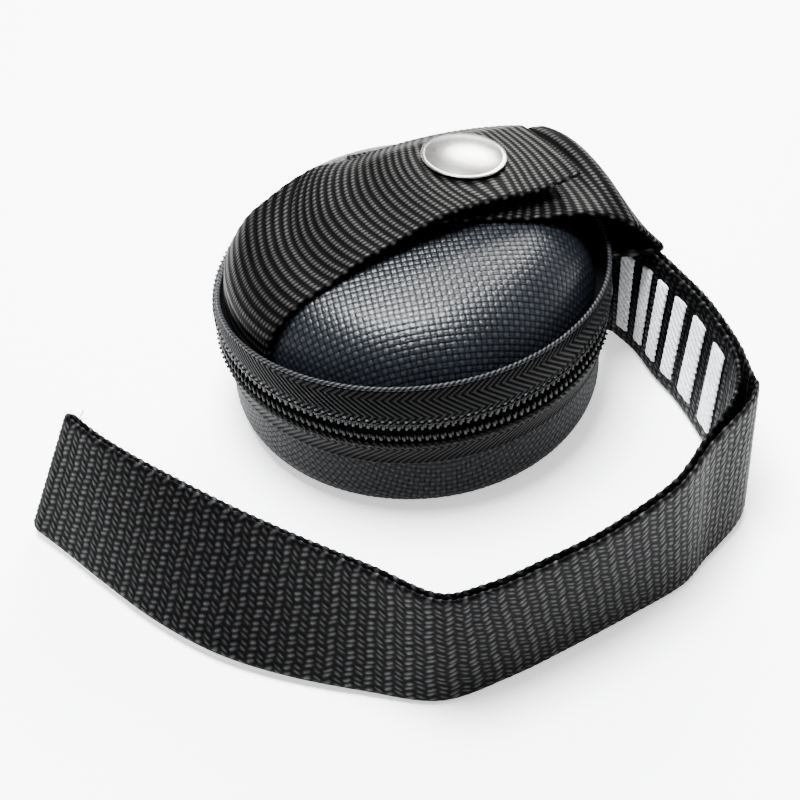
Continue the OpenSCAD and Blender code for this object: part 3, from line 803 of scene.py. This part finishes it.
def make_cap():
    """Pressed cap with a rolled rim, square to the crown below it."""
    tilt = math.asin(math.hypot(SNAP_X, SNAP_Y) / CROWN_ROUND)
    height = CROWN_ROUND + SNAP_STACK + SNAP_WEB_T + 0.06
    place = (Matrix.Translation((0, 0, CROWN_CZ)) @ Matrix.Rotation(math.atan2(SNAP_Y, SNAP_X), 4, "Z")
             @ Matrix.Rotation(tilt, 4, "Y") @ Matrix.Translation((0, 0, height)))
    dome_r, dome_edge = 19.8, 6.9
    dome = arc(0, -18.35, dome_r, math.pi / 2, math.pi / 2 - math.asin(dome_edge / dome_r), 26)
    rim = arc(CAP_R - 0.25, 0.1, 0.23, math.radians(50), math.radians(-90), 14)
    back = np.array([[CAP_R - 1.0, -0.04], [3, 0.02], [0, 0.02]])
    profile = np.concatenate([dome, rim, back])
    cap = lathe("snap_cap_shell", profile, 128, "snap_metal", place=place)
    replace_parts(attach(cap, "upper_flap"), "snap_cap")
    shank_bottom = place @ Matrix.Translation((0, 0, -0.7))
    outline = np.array([[0, 0.72], [1.5, 0.72], [1.6, 0.6], [1.6, -0.6], [1.5, -0.7], [0, -0.7]])
    post = lathe("snap_cap_shank", outline, 40, "snap_metal", place=shank_bottom)
    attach(post, "upper_flap")


# ---------------------------------------------------------------- wrist loop
# Each point is the foot of the webbing (x, y) and how far its top leans (x, y)
LOOP_ROUTE = np.array([
    [37.6, 9, 0.3, -1], [41, 3, 1.8, -0.5], [43.5, -4, 2.8, 0], [47, -12, 3, 0],
    [50.5, -24, 2.6, 1], [52, -33, 1.6, 2.6], [51.5, -38.5, 2, 6], [48.5, -43.5, 3, 7],
    [44.5, -48.5, 1, 4], [40, -53.5, -1, 0], [31, -59, -3, -3], [21, -64.5, -3, -3],
    [11, -69.5, -3, -2.5], [0, -73, 0.5, 0], [-12, -70.5, 3, 4], [-24, -67, 5.5, 7.5],
    [-35, -62, 7, 10], [-45, -54.5, 7.5, 9.5], [-54, -45.5, 8, 6.5], [-61, -38, 8.5, 4.5],
    [-66.5, -32.5, 9.5, 4]])
LOOP_LENGTH = 205  # nominal: it only scales the bars' places along the route
BAR_PITCH, BAR_W, BAR_LONG, BAR_COUNT = 6.7, 4, 18, 6


def route_at(t):
    """A smooth curve through the route's points, at shares t of their count."""
    last = len(LOOP_ROUTE) - 1
    i = np.minimum(last - 1, np.floor(t * last)).astype(int)
    f = (t * last - i)[:, None]
    a, b, c, d = (LOOP_ROUTE[np.clip(i + k, 0, last)] for k in (-1, 0, 1, 2))
    return 0.5 * (2 * b + (c - a) * f + (2 * a - 5 * b + 4 * c - d) * f ** 2
                  + (3 * b - a - 3 * c + d) * f ** 3)


def loop_frame(t):
    """Foot, way up and the side facing the case of the webbing at each t."""
    p = route_at(t)
    lean = np.hypot(p[:, 2], p[:, 3])
    up = np.stack([p[:, 2], p[:, 3], np.sqrt(WEB_W ** 2 - lean ** 2)], -1) / WEB_W

    def foot(at):
        q = route_at(at)
        lift = (WRIST_WEB_T + 1) * np.hypot(q[:, 2], q[:, 3]) / WEB_W + 0.05
        return np.stack([q[:, 0], q[:, 1], lift], -1)
    run = unit(foot(np.minimum(1, t + 0.002)) - foot(np.maximum(0, t - 0.002)))
    return foot(t), up, unit(np.cross(run, up))


def loop_part(t):
    """How far each layer of the loop stands off the middle between them."""
    return 0.04 + 0.9 * ease((t - 0.2) / 0.1) * ease((0.42 - t) / 0.1)


def loop_points(t, heights, offset):
    foot, up, side = loop_frame(t)
    flat = foot[:, None] + heights[None, :, None] * up[:, None]
    return flat + offset[:, None, None] * side[:, None]


def make_wrist_loop():
    """One length of webbing that runs out, folds at the far end and comes back inside."""
    heights = np.linspace(0.3, WEB_W - 0.3, 112)
    t = np.linspace(0, 1, 700)
    half = WRIST_WEB_T / 2
    out = loop_points(t, heights, -(loop_part(t) + half))
    back = loop_points(t, heights, loop_part(t) + half)[::-1]
    sewn = np.array([-1.7, 1.0, 0])  # from the root towards the case
    out, back = np.concatenate([out[:1] + sewn, out]), np.concatenate([back, back[-1:] + sewn])
    foot, up, side = loop_frame(np.array([1.0]))
    run = unit(np.cross(up, side))[0]
    run = -run if run @ (out[-1, 0] - out[-2, 0]) < 0 else run
    fold = []
    reach = half + 0.04
    for turn in np.linspace(0, math.pi, 16)[1:-1]:
        centre = foot[0] + heights[:, None] * up[0]
        fold.append(centre - side[0] * reach * math.cos(turn) + run * 1.5 * math.sin(turn))
    path, along = resample(np.concatenate([out, np.array(fold), back]), 0.26)
    height, tone = chunky(along[:, None], heights[None, :])
    path[:, -1, 2] += 0.1 * np.sin(along * 2 * math.pi / 1.6)
    webbing = sheet("wrist_webbing", path, WRIST_WEB_T - 0.5, height * 0.7, tone, "wrist_webbing",
                    side_round=0.9)
    root, past = loop_frame(np.array([0.0, 0.03]))[0]
    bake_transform(webbing)
    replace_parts(webbing, "wrist_loop_inner", "wrist_loop_outer")


def make_ladder():
    """White bars woven on the inner face, with a stepped edge on the far side."""
    rows, columns = 16, 96
    points, faces, tones = [], [], []
    for n in range(BAR_COUNT):
        v = np.linspace(0, 1, columns)
        x = np.linspace(0, 1, rows)
        step = 0.4 * (1 - ((v * BAR_LONG / 1.5) % 1))
        shape = BAR_LONG / 2 * (1 - 0.05 * (2 * x - 1) ** 4)
        grid = np.empty((rows, columns, 3))
        stand = np.empty((rows, columns))
        for k in range(rows):
            start = 3 + n * BAR_PITCH
            along = start + x[k] * BAR_W + x[k] ** 2 * (step - 0.2)
            t = along / LOOP_LENGTH
            heights = WEB_W / 2 + (2 * v - 1) * shape[k]
            foot, up, side = loop_frame(t)
            twill = 0.5 + 0.5 * np.cos(2 * math.pi * (heights / 1.5 + x[k] * BAR_W / 2.2))
            rounded = (math.sqrt(max(0.0, 1 - (2 * x[k] - 1) ** 6))
                       * np.sqrt(np.clip(1 - (2 * v - 1) ** 30, 0, 1)))
            out = loop_part(t) + WRIST_WEB_T + 0.02 + (0.1 + 0.22 * twill) * rounded
            grid[k] = foot + heights[:, None] * up + out[:, None] * side
            # low at the bars' rounded edges and between the twill's yarns: painted shade on the white yarn
            stand[k] = 0.25 + 0.75 * twill * rounded
        first = len(points) * rows * columns
        points.append(grid.reshape(-1, 3))
        faces += quads(rows, columns, first, True)
        tones.append(stand.ravel())
    bars = make_mesh("ladder_bars_woven", np.concatenate(points), faces, np.concatenate(tones),
                     "white_yarn")
    thick = bars.modifiers.new("thickness", "SOLIDIFY")
    thick.thickness = 0.12 * MM
    thick.offset = -1
    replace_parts(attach(bars, "wrist_loop"), "ladder_bars")


def make_stray_threads():
    """Frayed ends at the loop's fold."""
    foot, up, _ = loop_frame(np.array([0.99]))
    start = foot[0] + up[0] * (WEB_W - 0.4)
    rows, columns, thread_r = 12, 6, 0.09
    ring = np.linspace(0, 2 * math.pi, columns, endpoint=False)
    points, faces = [], []
    for n, (dx, dy, dz) in enumerate(((1.2, 0.6, 2.0), (-0.8, 0.4, 1.5), (2.2, -0.3, 0.9))):
        s = np.linspace(0, 1, rows)
        line = start + np.stack([dx * s + 0.5 * np.sin(3 * s + n), dy * s, dz * np.sin(1.8 * s)], -1)
        tube = line[:, None] + thread_r * np.stack([np.cos(ring), np.sin(ring), 0 * ring], -1)[None]
        points.append(tube.reshape(-1, 3))
        first = n * rows * columns
        for i in range(rows - 1):
            a, b = first + i * columns, first + (i + 1) * columns
            for k in range(columns):
                following = (k + 1) % columns
                faces.append([a + k, a + following, b + following, b + k])
        faces.append([first + k for k in range(columns - 1, -1, -1)])
        faces.append([first + (rows - 1) * columns + k for k in range(columns)])
    points = np.concatenate(points)
    fray = make_mesh("stray_threads", points, faces, np.full(len(points), 0.6), "thread")
    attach(fray, "wrist_loop")


# ---------------------------------------------------------------- pieces shown straight from the CAD
def finish_cad_pieces():
    """CAD pieces that keep their own shape get a material, and the metal ones soft edges."""
    slots = {row["node"]: row["material_slot"] for row in frame["record"]["subparts"]}
    for node, piece in frame["nodes"].items():
        piece.data.materials.clear()
        piece.data.materials.append(materials[slots[node]])
        if slots[node] in ("slider_metal", "snap_metal") and not piece.hide_render:
            bevel = piece.modifiers.new("soft_edges", "BEVEL")
            bevel.width = 0.12 * MM
            bevel.segments = 2
            bevel.limit_method = "ANGLE"


make_camera()
make_studio()
materials = make_materials()
make_case()
make_tapes()
make_coils()
make_gusset()
make_top_strap()
make_under_strap()
make_cap()
make_wrist_loop()
make_ladder()
make_stray_threads()
finish_cad_pieces()
